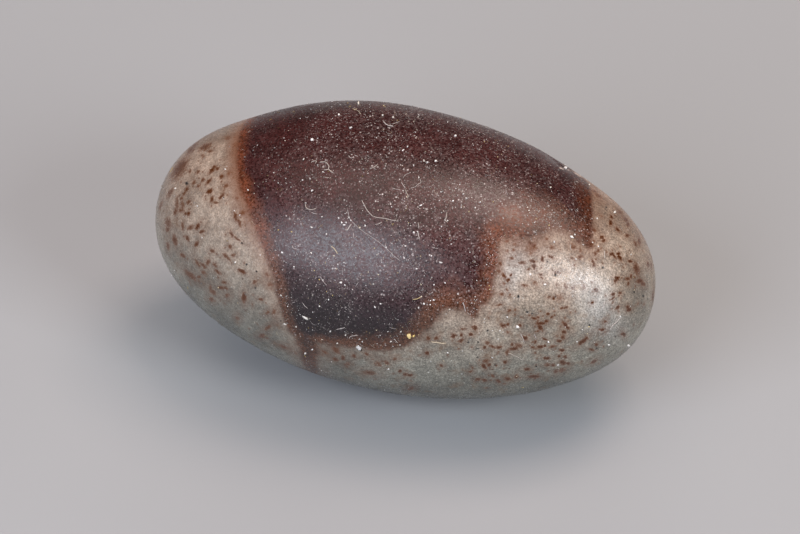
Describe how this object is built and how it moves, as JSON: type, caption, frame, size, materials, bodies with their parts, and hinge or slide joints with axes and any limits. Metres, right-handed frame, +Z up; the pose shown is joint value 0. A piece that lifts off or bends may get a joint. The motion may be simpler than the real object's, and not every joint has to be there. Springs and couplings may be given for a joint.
{
  "type": "shiva lingam stone",
  "caption": "Egg-shaped polished quartz pebble, freckled grey-brown with a rust-edged dark maroon patch over its middle, lying on a small flat spot.",
  "frame": {"origin": "on the floor, under the middle of the stone, at the bottom centre of its bounding box", "axes": "+X along the stone's long axis towards its slightly slimmer end, +Z up from the flat spot that it rests on, -Y towards the side with the dark patch"},
  "size_m": [0.042, 0.0231, 0.0229],
  "materials": {
    "polished_quartz": "polished"
  },
  "bodies": {
    "root": {"stone": "polished_quartz"}
  },
  "joints": []
}
